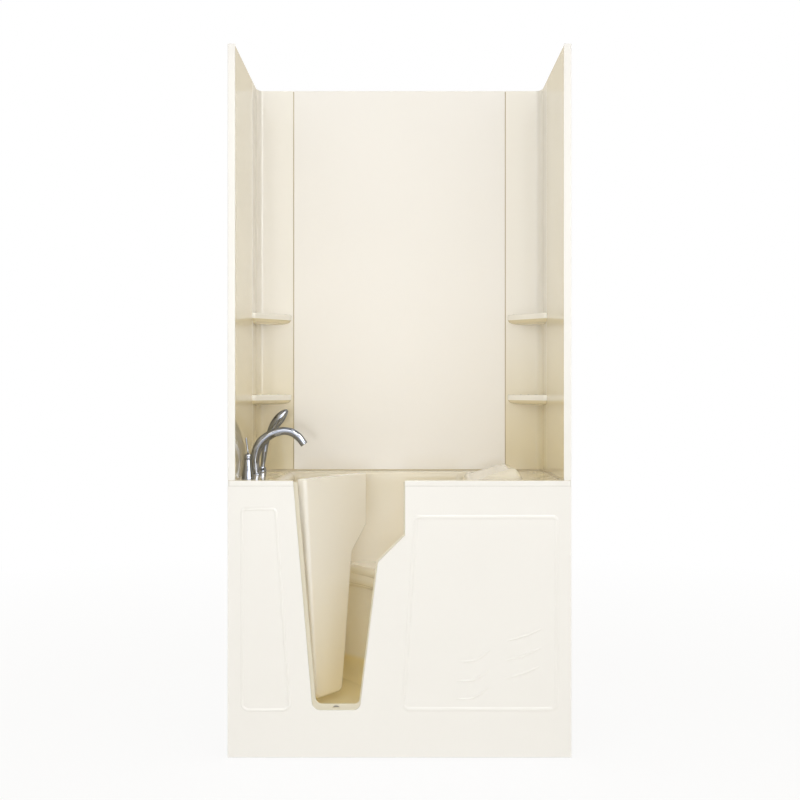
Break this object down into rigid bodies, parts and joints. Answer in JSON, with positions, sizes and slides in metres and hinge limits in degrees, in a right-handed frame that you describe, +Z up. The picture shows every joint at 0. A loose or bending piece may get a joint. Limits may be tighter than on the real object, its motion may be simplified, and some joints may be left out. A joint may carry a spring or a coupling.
{
  "type": "walk-in bathtub",
  "caption": "Walk-in bathtub with an inward-swinging door, seat, deck filler set, support frame and a three-wall surround with corner shelves.",
  "frame": {"origin": "centre of the footprint, on the floor", "axes": "+X to the right seen from the front, +Y from the front apron towards the back wall, +Z up"},
  "size_m": [1.194, 0.689, 2.4825],
  "materials": {
    "tub_acrylic": "glossy biscuit acrylic",
    "surround_acrylic": "glossy biscuit acrylic",
    "chrome": "polished",
    "stainless": "brushed",
    "galvanised": "galvanised",
    "rubber": "matt",
    "sealant": "satin silicone",
    "brass": "turned",
    "pipe": "moulded",
    "timber": "sawn"
  },
  "bodies": {
    "tub": {"tub_shell": "tub_acrylic", "front_apron": "tub_acrylic", "door_jamb": "tub_acrylic", "door_seal": "rubber", "upper_hinge_frame_leaf": "stainless", "upper_hinge_pin": "stainless", "lower_hinge_frame_leaf": "stainless", "lower_hinge_pin": "stainless", "latch_keeper": "stainless", "back_panel": "surround_acrylic", "left_side_panel": "surround_acrylic", "right_side_panel": "surround_acrylic", "left_corner_panel": "surround_acrylic", "right_corner_panel": "surround_acrylic", "left_front_trim": "surround_acrylic", "right_front_trim": "surround_acrylic", "left_upper_shelf": "surround_acrylic", "left_lower_shelf": "surround_acrylic", "right_upper_shelf": "surround_acrylic", "right_lower_shelf": "surround_acrylic", "base_seal": "sealant", "valve_body": "chrome", "valve_nut": "brass", "filler_spout": "chrome", "spout_nut": "brass", "shower_cradle": "chrome", "cradle_nut": "brass", "drain_body": "chrome", "overflow_plate": "chrome", "overflow_tube": "pipe", "front_base_rail": "galvanised", "rear_base_rail": "galvanised", "left_base_rail": "galvanised", "right_base_rail": "galvanised", "left_well_bar": "galvanised", "right_well_bar": "galvanised", "left_front_post": "galvanised", "left_rear_post": "galvanised", "right_front_post": "galvanised", "right_rear_post": "galvanised", "seat_rail": "galvanised", "seat_front_post": "galvanised", "seat_rear_post": "galvanised", "well_block": "timber", "left_front_foot": "galvanised", "left_rear_foot": "galvanised", "right_front_foot": "galvanised", "right_rear_foot": "galvanised"},
    "door": {"door_panel": "tub_acrylic", "door_liner": "tub_acrylic", "upper_hinge_door_leaf": "stainless", "lower_hinge_door_leaf": "stainless", "latch_escutcheon": "chrome"},
    "latch": {"latch_handle": "chrome", "latch_tongue": "stainless"},
    "valve_cap": {"valve_head": "chrome"},
    "lever": {"valve_lever": "chrome"},
    "shower": {"hand_shower": "chrome"},
    "knob": {"overflow_knob": "chrome"},
    "stopper": {"drain_stopper": "chrome"}
  },
  "joints": [
    {"name": "door_hinge", "type": "hinge", "parent": "tub", "child": "door", "pos_m": [-0.364, -0.2855, 0.595], "axis": [0, 0, 1], "range_deg": [-57, 28]},
    {"name": "latch_turn", "type": "hinge", "parent": "door", "child": "latch", "pos_m": [-0.1727, -0.00194, 0.845], "axis": [-0.8387, 0.5446, 0], "range_deg": [0, 90]},
    {"name": "valve_turn", "type": "hinge", "parent": "tub", "child": "valve_cap", "pos_m": [-0.538, -0.2435, 1.04], "axis": [0, 0, 1], "range_deg": [-45, 45]},
    {"name": "lever_tilt", "type": "hinge", "parent": "valve_cap", "child": "lever", "pos_m": [-0.538, -0.2435, 1.05793], "axis": [0, 1, 0], "range_deg": [0, 25]},
    {"name": "shower_lift", "type": "slide", "parent": "tub", "child": "shower", "axis": [0.1149, 0, 0.9934], "range_m": [0, 0.1]},
    {"name": "knob_turn", "type": "hinge", "parent": "tub", "child": "knob", "pos_m": [-0.413, 0.1385, 0.84], "axis": [1, 0, 0], "range_deg": [0, 90]},
    {"name": "stopper_lift", "type": "slide", "parent": "tub", "child": "stopper", "axis": [0, 0, 1], "range_m": [0, 0.008]}
  ],
  "couplings": [
    {"joint": "stopper_lift", "follows": "knob_turn", "m_per_rad": 0.00509}
  ]
}
